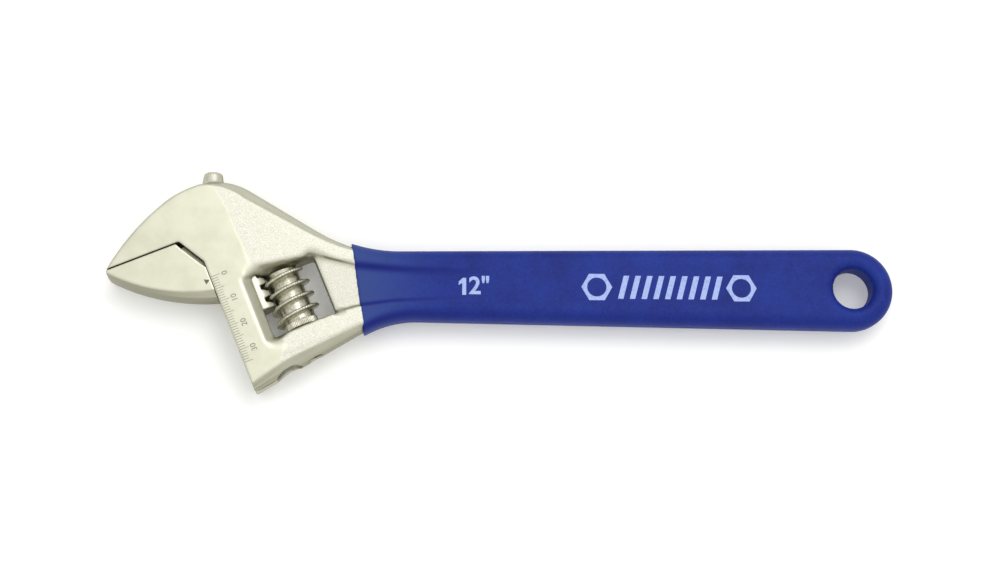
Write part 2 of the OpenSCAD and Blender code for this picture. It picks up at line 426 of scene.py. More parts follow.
# Rolled-in marks hold dark oxide, worn a little paler in places.
rolledMark = {"full": "#85847a", "thin": "#9f9e8d", "rough": 0.7, "speck": 0.5}
# The punched pointer is deeper, so its oxide is darker.
punchedMark = {"full": "#55544a", "thin": "#6c6b5c", "rough": 0.7, "speck": 0.5}
speckStops = (0.32, 0.5)


def makeInk(name, ink):
    made, tree, shader, where = newMaterial(name)
    speck = addNode(
        tree,
        "ShaderNodeTexNoise",
        {"Vector": where, "Scale": perMetre(ink["speck"]), "Detail": 3.0},
    ).outputs["Fac"]
    colour = addNode(tree, "ShaderNodeValToRGB", {"Fac": speck})
    setStops(colour, zip(speckStops, (linear(ink["thin"]), linear(ink["full"]))))
    tree.links.new(colour.outputs[0], shader.inputs["Base Color"])
    shader.inputs["Roughness"].default_value = ink["rough"]
    return made


nickelPlate = makeNickel()
wormSteel = makeTurned("turned steel, satin nickel", turned)
wireSteel = makeTurned("oiled spring wire", springWire)
pinMetal = makeTurned("plated pin steel, darkened as painted shade", shadedPinSteel)
vinylSkin = makeVinyl()
padInk = makeInk("pad-printed ink, pale blue", padBlue)
markOxide = makeInk("dark oxide in rolled marks", rolledMark)
pointerOxide = makeInk("black oxide in the punched pointer", punchedMark)
print("materials made")

# The forged body.

forged = {
    "voxel": 0.45,  # mm
    "gripFrom": 70,  # the handle is hidden from here on, so it keeps few faces
    "share": 0.59,  # of all the faces, with the loss taken from that stretch
    "rounds": 26,
    # how strongly the edges of each stretch are rounded, from 0 to 1
    "soft": {"head": 0.25, "neck": 1.0, "pocket": 0.8, "hollow": 0.1, "machined": 0.05, "boss": 0.1},
    "neckStart": (11, 17),  # u over which the head's crisper edges give way to the neck's
    # stretches of the head: u low, u high, v low, v high
    "window": (8, 41.5, -51, -17),
    "webSlot": (-far, 9, -far, -10),
    "jawFaces": (-40, 1, -14, 1.2),
    "frontEdge": (-far, 1.4, -far, -10),
    "pocketFloor": 3.7,  # the pocket is everything further than this from the middle plane
    "slotHalf": 4.2,
    "bore": {"u": 14.1, "reach": 6.4, "below": -46},
    "boss": {"x": 5.6, "half": 5, "above": 38.6},
    "neckFall": math.radians(5),
    "thinnest": 5.0,
    # corners of the pocket's rim that the die left rounder: u, v and reach
    "corners": [(39.2, -21.6, 6.5), (15.0, -19.8, 3.5), (13.4, -50.0, 3.5), (40.0, -46.8, 3.0)],
    "cornerRounds": 90,
    "cornersOutside": 4.3,  # only further than this from the middle plane
    # where the ground cheek ends, as v against u
    "cheekEnd": [
        (-62, 12), (-55.5, 13.3), (-52, 17.4), (-49.9, 15), (-47.5, 16.4), (-19.5, 16.2),
        (-14.2, 15.7), (-7.4, 15.4), (-2, 15), (3.4, 14.9), (8.7, 14.7), (13.5, 14), (16.5, 12.3),
        (19.5, 8.8), (22, 3), (24, -4),
    ],
    "grindFade": (0.3, 0.5),  # how far before and after that line the grinding fades out
    # how far up a face must look to be free of the painted side shade
    "sideShadeTilt": (0.2, 0.85),
}


def cheekEnd(v):
    table = np.array(forged["cheekEnd"])
    return np.interp(v, table[:, 0], table[:, 1])


def cornerWeights(u, v, z):
    weight = np.zeros(len(u))
    for cornerU, cornerV, reach in forged["corners"]:
        away = np.hypot(u - cornerU, v - cornerV)
        weight = np.maximum(weight, 1 - ramp(away, reach * 0.5, reach))
    return np.where(np.abs(z) > forged["cornersOutside"], weight, 0)


def bodyWeights(co):
    u, v, z = toHead(co).T
    x, y, z = toHandle(co).T
    height = np.abs(z)
    soft, bore, boss = forged["soft"], forged["bore"], forged["boss"]
    weight = soft["head"] + (soft["neck"] - soft["head"]) * ramp(u, *forged["neckStart"])
    inWindow = between(u, v, forged["window"])
    inside = np.where(height > forged["pocketFloor"], soft["pocket"], soft["hollow"])
    weight = np.where(inWindow, inside, weight)
    inSlot = between(u, v, forged["webSlot"]) & (height < forged["slotHalf"])
    inBore = (np.hypot(u - bore["u"], z) < bore["reach"]) & (v < bore["below"])
    crisp = inSlot | inBore | between(u, v, forged["jawFaces"]) | between(u, v, forged["frontEdge"])
    weight = np.where(crisp, soft["machined"], weight)
    onBoss = (np.abs(x - boss["x"]) < boss["half"]) & (y > boss["above"])
    return np.where(onBoss, soft["boss"], weight)


def makeBody():
    piece = copyNode("forgedBody", "body")
    mesh = remesh(piece, forged["voxel"])
    mesh = soften(piece, bodyWeights(getPoints(mesh)), forged["rounds"])
    u, v, z = toHead(getPoints(mesh)).T
    mesh = soften(piece, cornerWeights(u, v, z), forged["cornerRounds"])
    underGrip = toHandle(getPoints(mesh))[:, 0] > forged["gripFrom"]
    mesh = thin(piece, underGrip, forged["share"])
    # the cheeks are flat over the head and fall away down the neck
    u, v, z = toHead(getPoints(mesh)).T
    edge = cheekEnd(v)
    limit = place["cheek"] - np.maximum(0, u - edge) * math.tan(forged["neckFall"])
    limit = np.maximum(limit, forged["thinnest"])
    setPoints(mesh, fromHead(np.stack([u, v, np.clip(z, -limit, limit)], 1)))
    upright = np.abs(getNormals(mesh)[:, 2])
    flat = ramp(upright, *plating["flat"])
    before, after = forged["grindFade"]
    blasted = flat * ramp(u, edge - before, edge + after) + (1 - flat) * plating["sideGrit"]
    setAttribute(mesh, "blasted", blasted)
    # painted shade on the body's faces that look less far up
    setAttribute(mesh, "sideShade", 1 - ramp(upright, *forged["sideShadeTilt"]))
    piece.data.materials.append(nickelPlate)
    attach(piece, "frame")
    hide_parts("body")
    print("body", len(mesh.polygons), "faces")


makeBody()

# The moving jaw.

jaw = {
    "voxel": 0.3,
    "rounds": 14,
    "soft": {"jaw": 0.5, "rack": 0.1, "rootEdge": 0.05, "face": 0.1},
    "rackFrom": -0.6,
    # u low, u high, v low, v high
    "rootEdge": (-1.4, 0, -24, far),
    "face": (-far, -6, -1.6, far),
    "throatU": 6.1,  # the head's throat flank starts this far before its front edge
    "throatSlope": math.radians(60),
    # a shelf below the cheek fills the throat's gap, up to a little short of the head's flank
    "shelf": {"height": 8.55, "v": (-13.6, -3.0), "gap": 0.3, "reach": 1.75, "frontGap": 0.12},
    # the root fits the head more closely than the solid's clearance
    "closer": {"by": 0.11, "u": (-3, -0.5), "v": (-12, -13)},
    # how far up a face must look to be free of the painted side shade
    "sideShadeTilt": (0.15, 0.75),
}


def jawWeights(u, v):
    soft = jaw["soft"]
    weight = np.where(u > jaw["rackFrom"], soft["rack"], soft["jaw"])
    weight = np.where(between(u, v, jaw["rootEdge"]), soft["rootEdge"], weight)
    return np.where(between(u, v, jaw["face"]), soft["face"], weight)


def addShelf(u, v, z):
    shelf = jaw["shelf"]
    across, along = math.sin(jaw["throatSlope"]), math.cos(jaw["throatSlope"])
    flank = across * (u + jaw["throatU"]) + along * v
    low, high = shelf["v"]
    within = (v > low) & (v < high) & (np.abs(z) < shelf["height"]) & (flank > -shelf["reach"])
    shift = np.where(within, np.maximum(0, -shelf["gap"] - flank), 0)
    moved = np.minimum(u + shift * across, -shelf["frontGap"])
    return np.where(shift > 0, moved, u), v + shift * along


def makeJaw():
    piece = copyNode("movingJaw", "movable_jaw")
    mesh = remesh(piece, jaw["voxel"])
    u, v, z = toHead(getPoints(mesh)).T
    mesh = soften(piece, jawWeights(u, v), jaw["rounds"])
    u, v, z = toHead(getPoints(mesh)).T
    z = np.clip(z, -place["cheek"], place["cheek"])
    u, v = addShelf(u, v, z)
    closer = jaw["closer"]
    nearer = u + closer["by"] * ramp(u, *closer["u"]) * ramp(v, *closer["v"])
    setPoints(mesh, fromHead(np.stack([np.where(u < 0, nearer, u), v, z], 1)))
    upright = np.abs(getNormals(mesh)[:, 2])
    setAttribute(mesh, "blasted", (1 - ramp(upright, *plating["flat"])) * plating["sideGrit"])
    # painted shade on the jaw's faces that look less far up
    setAttribute(mesh, "sideShade", 1 - ramp(upright, *jaw["sideShadeTilt"]))
    piece.data.materials.append(nickelPlate)
    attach(piece, "jaw")
    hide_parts("movable_jaw")
    print("jaw", len(mesh.polygons), "faces")


makeJaw()

# Geometry-node trees.


# A tree's named inputs are the capitalised entries of its piece's settings.
def newTree(name, settings):
    tree = bpy.data.node_groups.new(name, "GeometryNodeTree")
    tree.interface.new_socket("Geometry", in_out="OUTPUT", socket_type="NodeSocketGeometry")
    for label, value in settings.items():
        if label[0].isupper():
            kind = "NodeSocketInt" if isinstance(value, int) else "NodeSocketFloat"
            socket = tree.interface.new_socket(label, in_out="INPUT", socket_type=kind)
            socket.default_value = value
    return tree, addNode(tree, "NodeGroupInput").outputs


def endTree(tree, geometry, material):
    real = addNode(tree, "GeometryNodeRealizeInstances", {"Geometry": geometry})
    coloured = addNode(tree, "GeometryNodeSetMaterial", {"Geometry": real.outputs[0]})
    coloured.inputs["Material"].default_value = material
    addNode(tree, "NodeGroupOutput", {"Geometry": coloured.outputs[0]})


def growFromTree(name, tree, sizes):
    piece = addObject(name, bpy.data.meshes.new(name))
    made = piece.modifiers.new("grow", "NODES")
    made.node_group = tree
    for item in tree.interface.items_tree:
        if item.in_out == "INPUT" and item.name in sizes:
            made[item.identifier] = sizes[item.name]
    applyModifiers(piece)
    return piece


# From the worm's own axes (z along its pin, x towards the rack) to the wrench.
wormAxis = {"u": 25.3, "crestV": -27.6, "ends": (-46.6, -23.5)}


def placeOnWorm(mesh, offset):
    p = getPoints(mesh)
    setPoints(mesh, fromHead(np.stack([wormAxis["u"] - p[:, 0], offset + p[:, 2], p[:, 1]], 1)))


# The adjusting worm: a turned core and one long serrated ridge.

worm = {
    "Pitch": 5.0,
    "Start Turn": -3.14,
    "End Turn": 0.5,
    "Steps Along": 1500,
    "Steps Round": 25,
    "Crest Radius": 9.0,
    "Root Radius": 5.7,
    "Half Width": 0.92,
    "Spread": 0.34,
    "Squareness": 0.6,
    "Serrations": 52.0,
    "Serration Depth": 0.11,
    "Fade Turns": 0.07,
    "Weld": 0.001,
}


def ridgeTree():
    tree, sizes = newTree("serrated helical ridge", worm)
    grid = addNode(
        tree,
        "GeometryNodeMeshGrid",
        {
            "Size X": 1.0,
            "Size Y": 1.0,
            "Vertices X": sizes["Steps Along"],
            "Vertices Y": sizes["Steps Round"],
        },
    )
    spot = addNode(
        tree, "ShaderNodeSeparateXYZ", {0: addNode(tree, "GeometryNodeInputPosition").outputs[0]}
    )
    along = reckon(tree, "ADD", spot.outputs[0], 0.5)
    around = reckon(tree, "MULTIPLY", spot.outputs[1], 2 * math.pi)
    turn = addNode(
        tree,
        "ShaderNodeMapRange",
        {"Value": along, "To Min": sizes["Start Turn"], "To Max": sizes["End Turn"]},
    ).outputs[0]
    angle = reckon(tree, "MULTIPLY", turn, 2 * math.pi)
    toStart = reckon(tree, "SUBTRACT", turn, sizes["Start Turn"])
    toEnd = reckon(tree, "SUBTRACT", sizes["End Turn"], turn)
    nearest = reckon(tree, "MINIMUM", toStart, toEnd)
    fade = addNode(
        tree,
        "ShaderNodeMapRange",
        {"Value": nearest, "From Min": 0.0, "From Max": sizes["Fade Turns"]},
        interpolation_type="SMOOTHSTEP",
    ).outputs[0]
    outward = reckon(tree, "COSINE", around)
    sideways = reckon(tree, "SINE", around)
    boxed = []
    for wave in (outward, sideways):
        size = reckon(tree, "POWER", reckon(tree, "ABSOLUTE", wave), sizes["Squareness"])
        boxed.append(reckon(tree, "MULTIPLY", size, reckon(tree, "SIGN", wave)))
    crest, root = sizes["Crest Radius"], sizes["Root Radius"]
    middle = reckon(tree, "MULTIPLY", reckon(tree, "ADD", crest, root), 0.5)
    reach = reckon(tree, "MULTIPLY", reckon(tree, "SUBTRACT", crest, root), 0.5)
    lifted = reckon(tree, "MULTIPLY", reckon(tree, "MULTIPLY", boxed[0], reach), fade)
    base = addNode(
        tree,
        "ShaderNodeMapRange",
        {"Value": fade, "To Min": root, "To Max": middle},
    ).outputs[0]
    notch = reckon(tree, "COSINE", reckon(tree, "MULTIPLY", angle, sizes["Serrations"]))
    notch = reckon(tree, "MULTIPLY", reckon(tree, "SUBTRACT", notch, 1.0), 0.5)
    top = reckon(tree, "MAXIMUM", boxed[0], 0.0)
    notch = reckon(tree, "MULTIPLY", reckon(tree, "MULTIPLY", notch, top), sizes["Serration Depth"])
    notched = reckon(tree, "MULTIPLY", notch, fade)
    radius = reckon(tree, "ADD", reckon(tree, "ADD", base, lifted), notched)
    widened = reckon(tree, "MULTIPLY", outward, sizes["Spread"])
    taper = reckon(tree, "SUBTRACT", sizes["Half Width"], widened)
    half = reckon(tree, "MULTIPLY", reckon(tree, "MULTIPLY", boxed[1], taper), fade)
    x = reckon(tree, "MULTIPLY", radius, reckon(tree, "COSINE", angle))
    y = reckon(tree, "MULTIPLY", radius, reckon(tree, "SINE", angle))
    z = reckon(tree, "ADD", half, reckon(tree, "MULTIPLY", turn, sizes["Pitch"]))
    spotOut = addNode(tree, "ShaderNodeCombineXYZ", {0: x, 1: y, 2: z}).outputs[0]
    moved = addNode(
        tree, "GeometryNodeSetPosition", {"Geometry": grid.outputs[0], "Position": spotOut}
    )
    welded = addNode(
        tree,
        "GeometryNodeMergeByDistance",
        {"Geometry": moved.outputs[0], "Distance": sizes["Weld"]},
    )
    endTree(tree, welded.outputs[0], wormSteel)
    return tree


# Turns a closed profile about the pin; each point is a radius, a height and a depth of knurl.
def turnedMesh(name, profile, steps, knurls):
    angles = np.arange(steps) * 2 * math.pi / steps
    points = []
    for radius, z, depth in profile:
        r = radius + 0.5 * (np.cos(angles * knurls) - 1) * depth
        points.append(np.stack([r * np.cos(angles), r * np.sin(angles), np.full(steps, z)], 1))
    rings = len(profile)
    faces = []
    for k in range(rings):
        a, b = k * steps, ((k + 1) % rings) * steps
        for i in range(steps):
            j = (i + 1) % steps
            faces.append((a + i, a + j, b + j, b + i))
    mesh = bpy.data.meshes.new(name)
    mesh.from_pydata(np.concatenate(points).tolist(), [], faces)
    return mesh


core = {
    "radius": 6.2,
    "collar": 6.5,
    "collarLength": 2.6,
    "bore": 2.48,
    "well": 4.1,
    "wellDepth": 5.5,
    "knurlDepth": 0.22,
    "knurls": 60,
    "steps": 480,
    "bevel": 0.25,
    "nick": 0.02,  # the well's corners are all but sharp
}


def makeWorm():
    low, high = wormAxis["ends"]
    top = high - low
    r, c, b, w = core["radius"], core["collar"], core["bore"], core["well"]
    cl, wd = core["collarLength"], top - core["wellDepth"]
    knurl, bevel, nick = core["knurlDepth"], core["bevel"], core["nick"]
    profile = [
        (b, bevel, 0), (b + bevel, 0, 0), (c - 0.5, 0, 0), (c - 0.15, 0.1, 0), (c, 0.35, knurl),
        (c, cl - 0.3, knurl), (c - 0.15, cl, 0.1), (r + 0.05, cl + 0.12, 0), (r, cl + 0.5, 0),
        (r, top - 0.4, 0), (r - 0.15, top - 0.1, 0), (r - 0.4, top, 0), (w + 0.2, top, 0),
        (w, top - 0.2, 0), (w, wd + nick, 0), (w - nick, wd, 0), (b + nick, wd, 0), (b, wd - nick, 0),
    ]
    mesh = turnedMesh("wormCore", profile, core["steps"], core["knurls"])
    coreObject = addObject("wormCore", mesh)
    placeOnWorm(mesh, low)
    ridge = growFromTree("wormRidge", ridgeTree(), worm)
    placeOnWorm(ridge.data, wormAxis["crestV"])
    both = bmesh.new()
    both.from_mesh(mesh)
    both.from_mesh(ridge.data)
    bmesh.ops.recalc_face_normals(both, faces=both.faces)
    for face in both.faces:
        face.smooth = True
    joined = bpy.data.meshes.new("knurledWorm")
    both.to_mesh(joined)
    both.free()
    bpy.data.objects.remove(coreObject)
    bpy.data.objects.remove(ridge)
    piece = addObject("knurledWorm", joined)
    joined.materials.append(wormSteel)
    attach(piece, "worm")
    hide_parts("adjusting_worm")
    print("worm", len(joined.polygons), "faces")


makeWorm()

# The spring in the worm's end.

spring = {
    "Turns": 4.0,
    "Radius": 3.3,
    "Wire": 0.4,
    "Height": 3.9,
    "Steps a Turn": 40,
    "Steps Round": 12,
    "low": -28.2,  # v of its lower end
}


def makeSpring():
    tree, sizes = newTree("coil spring", spring)
    coil = addNode(
        tree,
        "GeometryNodeCurveSpiral",
        {
            "Resolution": sizes["Steps a Turn"],
            "Rotations": sizes["Turns"],
            "Start Radius": sizes["Radius"],
            "End Radius": sizes["Radius"],
            "Height": sizes["Height"],
        },
    )
    wire = addNode(
        tree,
        "GeometryNodeCurvePrimitiveCircle",
        {"Resolution": sizes["Steps Round"], "Radius": sizes["Wire"]},
    )
    swept = addNode(
        tree,
        "GeometryNodeCurveToMesh",
        {"Curve": coil.outputs[0], "Profile Curve": wire.outputs[0], "Fill Caps": True},
    )
    endTree(tree, swept.outputs[0], wireSteel)
    piece = growFromTree("springCoil", tree, spring)
    placeOnWorm(piece.data, spring["low"])
    finishMesh(piece, wireSteel)
    for face in piece.data.polygons:
        face.use_smooth = True
    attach(piece, "frame")
    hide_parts("worm_spring")


makeSpring()

# The pin keeps its solid.

# the pin's dark steel is painted shade for its shadowed slotted end
nodes["worm_pin"].data.materials.clear()
nodes["worm_pin"].data.materials.append(pinMetal)
print("worm, spring and pin made")

# The dipped grip.

grip = {
    "voxel": 0.5,
    "startX": 50,
    "endX": 252.1,
    "endR": 15.9,
    "endSteps": 61,
    "sideSteps": 260,
    "half": 6.5,
    # arcs that hollow the neck's top and lower edges: centre x and y, and radius
    "topHollow": (77.03, 72.2, 58.7),
    "lowHollow": (84.18, -52.2, 38.7),
    "waist": 13.5,
    "lip": (59.0, 16.0, math.tan(math.radians(8.3))),
    "lipRound": 1.1,
    "lipDip": 0.8,
    "lipFrom": 3,  # only the skin's outer faces dip, beyond this from the middle plane
    "edgeRound": 5.2,
    "holeR": 7.75,
    "holeRound": 3.4,
    "holeSteps": 72,
    # the steel's hollow web shows through the skin and fades out along the handle
    "webTop": [(56, 7.9), (75, 6.2), (95, 5.2), (125, 4.4)],
    "webLow": [(56, -9.6), (63, -8.5), (75, -6.8), (95, -5.7), (125, -4.6)],
    "webDepth": 1.0,
    "webFrom": 4,
    "webEdge": (-1.3, 1.3),
    "webFade": (66, 122),
    "soft": 0.6,
    "rounds": 5,
    # painted shade in the creases at the web's top, at its bottom and at the low edge: distance in
    # and width
    "topCrease": (0.6, 1.3),
    "lowCrease": (0.3, 0.7),
    "lowCreaseShare": 0.8,
    "edgeCrease": (2.1, 1.4),
    "edgeCreaseShare": (0.25, 0.65),  # all along, and the more of it where the web shows
    # painted sheen on the flat faces near the neck, fading out along the handle
    "paintedSheen": 0.8,
    "sheenFade": (58, 96),
}


def gripSide(x, startX):
    share = (x - startX) / (grip["endX"] - startX)
    return grip["waist"] + (grip["endR"] - grip["waist"]) * share


def gripEdges(x):
    cx, cy, r = grip["topHollow"]
    top = np.where(x < cx, cy - np.sqrt(np.maximum(r * r - (x - cx) ** 2, 0)), gripSide(x, cx))
    cx, cy, r = grip["lowHollow"]
    low = np.where(x < cx, cy + np.sqrt(np.maximum(r * r - (x - cx) ** 2, 0)), -gripSide(x, cx))
    return top, low


def lipX(y):
    x, y0, slope = grip["lip"]
    return x - (y - y0) * slope


def gripOutline():
    points = []
    ends = grip["endX"]
    for a in np.radians(np.linspace(-90, 90, grip["endSteps"])):
        points.append((ends + grip["endR"] * math.cos(a), grip["endR"] * math.sin(a)))
    xs = np.linspace(ends, grip["startX"], grip["sideSteps"])[1:]
    tops, lows = gripEdges(xs)
    points += [(x, y) for x, y in zip(xs, tops) if x > lipX(y)]
    low = [(x, y) for x, y in zip(xs, lows) if x > lipX(y)]
    points += [(lipX(y), y) for y in (points[-1][1], low[-1][1])]
    points += low[::-1]
    return points


def ring(at, r, steps):
    turns = [2 * math.pi * i / steps for i in range(steps)]
    return [(at[0] + r * math.cos(a), at[1] + r * math.sin(a)) for a in turns]


def plate(name, outer, holes, low, high):
    work = bmesh.new()
    edges = []
    for loop in [outer, *holes]:
        verts = [work.verts.new((x, y, low)) for x, y in loop]
        edges += [work.edges.new((verts[i], verts[(i + 1) % len(verts)])) for i in range(len(verts))]
    bmesh.ops.triangle_fill(work, use_beauty=True, use_dissolve=False, edges=edges)
    made = bmesh.ops.extrude_face_region(work, geom=work.faces[:])
    for v in (g for g in made["geom"] if isinstance(g, bmesh.types.BMVert)):
        v.co.z = high
    bmesh.ops.recalc_face_normals(work, faces=work.faces)
    mesh = bpy.data.meshes.new(name)
    work.to_mesh(mesh)
    work.free()
    return mesh


def roundOver(distance, z, inward, radius, half):
    p = distance - radius
    q = np.abs(z) - (half - radius)
    size = np.hypot(p, q)
    hit = (p < 0) & (q > 0) & (size > radius)
    scale = np.where(hit, radius / np.maximum(size, 1e-9), 1)
    shift = np.where(hit, p * scale - p, 0)
    zNew = np.where(hit, np.sign(z) * (half - radius + q * scale), z)
    return inward * shift[:, None], zNew


def creaseAt(distance, inwards, width):
    return np.exp(-(((distance - inwards) / width) ** 2))


def makeGrip():
    half = grip["half"]
    hole = ring((grip["endX"], 0), grip["holeR"], grip["holeSteps"])
    mesh = plate("grip", gripOutline(), [hole], -half, half)
    setPoints(mesh, getPoints(mesh) * mm)
    piece = addObject("dippedGrip", mesh)
    mesh = remesh(piece, grip["voxel"])
    x, y, z = (getPoints(mesh) / mm).T
    # the rim of the hanging hole
    dx, dy = x - grip["endX"], y
    away = np.maximum(np.hypot(dx, dy), 1e-6)
    outwards = np.stack([dx / away, dy / away], 1)
    move, z = roundOver(away - grip["holeR"], z, outwards, grip["holeRound"], half)
    x, y = x + move[:, 0], y + move[:, 1]
    # long edges and the rounded end
    top, low = gripEdges(np.minimum(x, grip["endX"]))
    upper = y > (top + low) / 2
    dx = x - grip["endX"]
    away = np.maximum(np.hypot(dx, y), 1e-6)
    onEnd = dx > 0
    distance = np.where(onEnd, grip["endR"] - away, np.where(upper, top - y, y - low))
    inX = np.where(onEnd, -dx / away, 0)
    inY = np.where(onEnd, -y / away, np.where(upper, -1.0, 1.0))
    move, z = roundOver(distance, z, np.stack([inX, inY], 1), grip["edgeRound"], half)
    x, y = x + move[:, 0], y + move[:, 1]
    # the lip where the dip stopped rounds over to the steel
    fromLip = (x - lipX(y)) / math.hypot(1, grip["lip"][2])
    short = 1 - np.clip(fromLip / grip["lipRound"], 0, 1)
    dip = grip["lipRound"] * (1 - np.sqrt(1 - short**2))
    z = z - np.sign(z) * np.where(np.abs(z) > grip["lipFrom"], dip * grip["lipDip"], 0)
    # the web's hollow
    webTop = np.interp(x, *np.array(grip["webTop"]).T)
    webLow = np.interp(x, *np.array(grip["webLow"]).T)
    inside = ramp(np.minimum(webTop - y, y - webLow), *grip["webEdge"])
    fade = 1 - ramp(x, *grip["webFade"])
    z = z - np.sign(z) * np.where(np.abs(z) > grip["webFrom"], grip["webDepth"] * inside * fade, 0)
    setPoints(mesh, fromHandle(np.stack([x, y, z], 1)))
    mesh = soften(piece, np.full(len(x), grip["soft"]), grip["rounds"])
    # painted shade in the creases of the web and along the low edge
    atTop = creaseAt(webTop - y, *grip["topCrease"]) * fade
    atLow = creaseAt(y - webLow, *grip["lowCrease"]) * fade * grip["lowCreaseShare"]
    always, more = grip["edgeCreaseShare"]
    atEdge = creaseAt(y - low, *grip["edgeCrease"]) * (always + more * fade)
    creaseShade = np.maximum(np.maximum(atTop, atLow), atEdge)
    # painted sheen on the flats, kept out of the painted crease shade
    paintedSheen = grip["paintedSheen"] * (1 - ramp(x, *grip["sheenFade"])) * (1 - creaseShade)
    setAttribute(mesh, "creaseShade", creaseShade)
    setAttribute(mesh, "paintedSheen", paintedSheen)
    piece.data.materials.append(vinylSkin)
    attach(piece, "frame")
    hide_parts("grip_sleeve")
    print("grip", len(mesh.polygons), "faces")


makeGrip()

# Marks.

scale = {
    "Count": 36,
    "Spacing": 1.0,
    "Tick Width": 0.24,
    "Short": 2.3,
    "Long": 3.3,
    "Thickness": 0.05,
    "Every": 5.0,  # each fifth tick is a long one
    "firstV": -17.3,
    "edgeU": 0.45,
}


def makeScale():
    tree, sizes = newTree("scale of ticks", scale)
    step = addNode(
        tree, "ShaderNodeCombineXYZ", {1: reckon(tree, "MULTIPLY", sizes["Spacing"], -1.0)}
    )
    line = addNode(
        tree, "GeometryNodeMeshLine", {"Count": sizes["Count"], "Offset": step.outputs[0]}
    )
    order = addNode(tree, "GeometryNodeInputIndex").outputs[0]
    rest = reckon(tree, "MODULO", order, sizes["Every"])
    isLong = reckon(tree, "LESS_THAN", rest, 0.5)
    length = addNode(
        tree,
        "ShaderNodeMapRange",
        {"Value": isLong, "To Min": sizes["Short"], "To Max": sizes["Long"]},
    ).outputs[0]
    size = addNode(
        tree, "ShaderNodeCombineXYZ", {0: length, 1: sizes["Tick Width"], 2: sizes["Thickness"]}
    ).outputs[0]
    bar = addNode(tree, "GeometryNodeMeshCube", {"Size": (1.0, 1.0, 1.0)})
    shifted = addNode(
        tree, "GeometryNodeTransform", {"Geometry": bar.outputs[0], "Translation": (0.5, 0.0, 0.0)}
    )
    ticks = addNode(
        tree,
        "GeometryNodeInstanceOnPoints",
        {"Points": line.outputs[0], "Instance": shifted.outputs[0], "Scale": size},
    )
    endTree(tree, ticks.outputs[0], markOxide)
    piece = growFromTree("scaleTicks", tree, scale)
    p = getPoints(piece.data)
    middle = place["markTop"] - scale["Thickness"] / 2
    p += np.array([scale["edgeU"], scale["firstV"], middle])
    setPoints(piece.data, fromHead(p))
    finishMesh(piece, markOxide)
    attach(piece, "frame")


makeScale()


def textMesh(name, words, height, thickness, bold):
    curve = bpy.data.curves.new(name, "FONT")
    curve.body = words
    curve.size = height / 0.7  # a figure is 0.7 of its font's size
    curve.extrude = thickness / 2
    curve.offset = bold
    curve.resolution_u = 6
    curve.align_x = "CENTER"
    curve.align_y = "CENTER"
    made = addObject(name, curve)
    graph = bpy.context.evaluated_depsgraph_get()
    mesh = bpy.data.meshes.new_from_object(made.evaluated_get(graph))
    bpy.data.objects.remove(made)
    return mesh


figures = {
    "height": 2.1,
    "thickness": 0.05,
    "bold": 0.04,
    "u": 5.6,
    "places": [("0", -17.6), ("10", -27.8), ("20", -37.9), ("30", -48.1)],
    "pointer": [(-2.5, -17.2), (-0.5, -18.2), (-2.3, -19.4)],
}


def joinMeshes(name, meshes, material):
    work = bmesh.new()
    for mesh in meshes:
        work.from_mesh(mesh)
    joined = bpy.data.meshes.new(name)
    work.to_mesh(joined)
    work.free()
    return finishMesh(addObject(name, joined), material)


def makeFigures():
    meshes = []
    thickness = figures["thickness"]
    middle = place["markTop"] - thickness / 2
    for words, v in figures["places"]:
        mesh = textMesh("figure", words, figures["height"], thickness, figures["bold"])
        x, y, z = getPoints(mesh).T
        setPoints(mesh, fromHead(np.stack([figures["u"] - y, v + x, middle + z], 1)))
        meshes.append(mesh)
    piece = joinMeshes("scaleFigures", meshes, markOxide)
    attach(piece, "frame")
    low, high = middle - thickness / 2, middle + thickness / 2
    mesh = plate("pointer", figures["pointer"], [], low, high)
    setPoints(mesh, fromHead(getPoints(mesh)))
    pointer = finishMesh(addObject("jawPointer", mesh), pointerOxide)
    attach(pointer, "jaw")


makeFigures()

printing = {
    "inchMark": '2"',
    "inchAt": (107.6, -1.0),
    "inchHeight": 6.6,
    "bold": 0.2,
    # the figure one, drawn with a flag
    "one": [
        (-0.75, -3.3), (0.75, -3.3), (0.75, 3.3), (-0.45, 3.3), (-2.1, 1.9), (-2.1, 0.5),
        (-0.75, 1.35),
    ],
    "oneAt": (101.9, -1.0),
    "nuts": (152.4, 208.0),
    "nutR": 5.9,
    "nutHole": 3.7,
    "bars": (161.6, 4.5, 9),  # first one, spacing and how many
    "barWidth": 2.1,
    "barHalf": 4.5,
    "slant": 2.4,
    "middleY": -0.8,
    "holeSteps": 40,
    "proud": 0.04,
    "sunk": 0.12,
}


def makePrint():
    low, high = grip["half"] - printing["sunk"], grip["half"] + printing["proud"]
    size, bold = printing["inchHeight"], printing["bold"]
    words = textMesh("inchMark", printing["inchMark"], size, high - low, bold)
    setPoints(words, getPoints(words) + np.array([*printing["inchAt"], (low + high) / 2]))
    oneX, oneY = printing["oneAt"]
    one = plate("one", [(oneX + x, oneY + y) for x, y in printing["one"]], [], low, high)
    meshes = [words, one]
    y, half, slant, width = (printing[k] for k in ("middleY", "barHalf", "slant", "barWidth"))
    for x in printing["nuts"]:
        hole = ring((x, y), printing["nutHole"], printing["holeSteps"])
        meshes.append(plate("nut", ring((x, y), printing["nutR"], 6), [hole], low, high))
    firstBar, spacing, count = printing["bars"]
    for i in range(count):
        x = firstBar + i * spacing
        corners = [
            (x - slant / 2, y - half), (x - slant / 2 + width, y - half),
            (x + slant / 2 + width, y + half), (x + slant / 2, y + half),
        ]
        meshes.append(plate("bar", corners, [], low, high))
    for mesh in meshes:
        setPoints(mesh, fromHandle(getPoints(mesh)))
    piece = joinMeshes("gripPrint", meshes, padInk)
    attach(piece, "frame")


makePrint()
print("marks made")

# Floor, light and camera.

